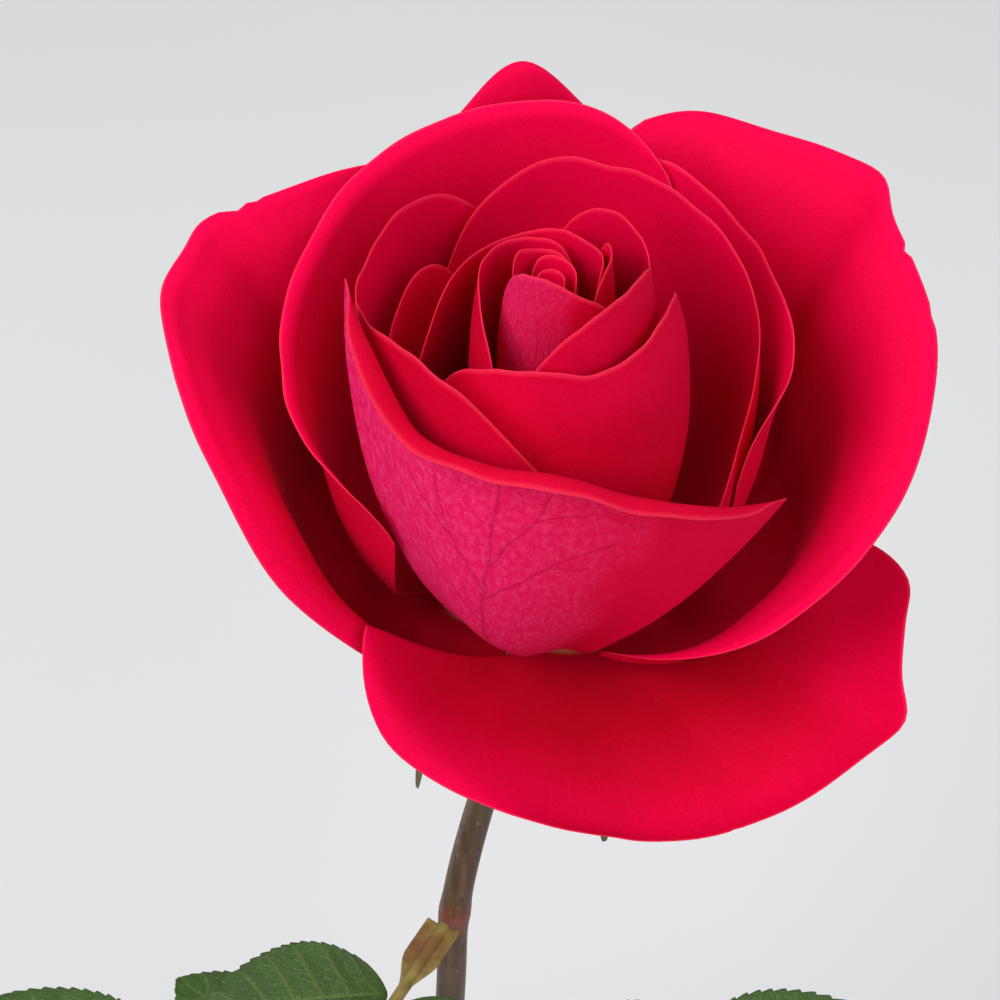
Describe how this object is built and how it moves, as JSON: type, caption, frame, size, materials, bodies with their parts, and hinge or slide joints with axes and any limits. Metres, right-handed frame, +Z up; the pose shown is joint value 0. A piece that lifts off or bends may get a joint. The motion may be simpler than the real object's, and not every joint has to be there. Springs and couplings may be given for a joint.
{
  "type": "rose in a bud vase",
  "caption": "Open red rose on a leafy stem, standing in a narrow-necked white bud vase that rests on its flat foot.",
  "frame": {"origin": "centre of the vase's flat foot, on the surface that it stands on", "axes": "+Z up along the vase's axis, -Y towards the side that the bloom's front petals face, +X to the right of it"},
  "size_m": [0.2194, 0.1732, 0.374],
  "materials": {
    "petal": "velvety crimson petal, satin",
    "stem": "brown-green stem, satin",
    "leaf": "green leaf, satin",
    "vase": "opaque white glazed ceramic"
  },
  "bodies": {
    "root": {"vase": "vase", "stem": "stem", "heart_petal_1": "petal", "heart_petal_2": "petal", "heart_petal_3": "petal", "heart_petal_4": "petal", "heart_petal_pink": "petal", "bud_petal_1": "petal", "bud_petal_2": "petal", "bud_petal_3": "petal", "bud_petal_4": "petal", "bud_petal_5": "petal", "bud_petal_6": "petal", "cup_petal_back": "petal", "cup_petal_left": "petal", "cup_petal_front": "petal", "ring_petal_right": "petal", "ring_petal_left": "petal", "guard_petal_right": "petal", "guard_petal_left": "petal", "guard_petal_back": "petal", "guard_petal_front": "petal", "sepal_1": "leaf", "sepal_2": "leaf", "sepal_3": "leaf", "sepal_4": "leaf", "sepal_5": "leaf", "leaf_upper_stalk": "stem", "leaf_upper_leaflet_1_left": "leaf", "leaf_upper_leaflet_1_right": "leaf", "leaf_upper_leaflet_2_left": "leaf", "leaf_upper_leaflet_2_right": "leaf", "leaf_upper_leaflet_tip": "leaf", "leaf_middle_stalk": "stem", "leaf_middle_leaflet_1_left": "leaf", "leaf_middle_leaflet_1_right": "leaf", "leaf_middle_leaflet_2_left": "leaf", "leaf_middle_leaflet_2_right": "leaf", "leaf_middle_leaflet_tip": "leaf", "leaf_lower_stalk": "stem", "leaf_lower_leaflet_1_left": "leaf", "leaf_lower_leaflet_1_right": "leaf", "leaf_lower_leaflet_2_left": "leaf", "leaf_lower_leaflet_2_right": "leaf", "leaf_lower_leaflet_tip": "leaf"}
  },
  "joints": []
}
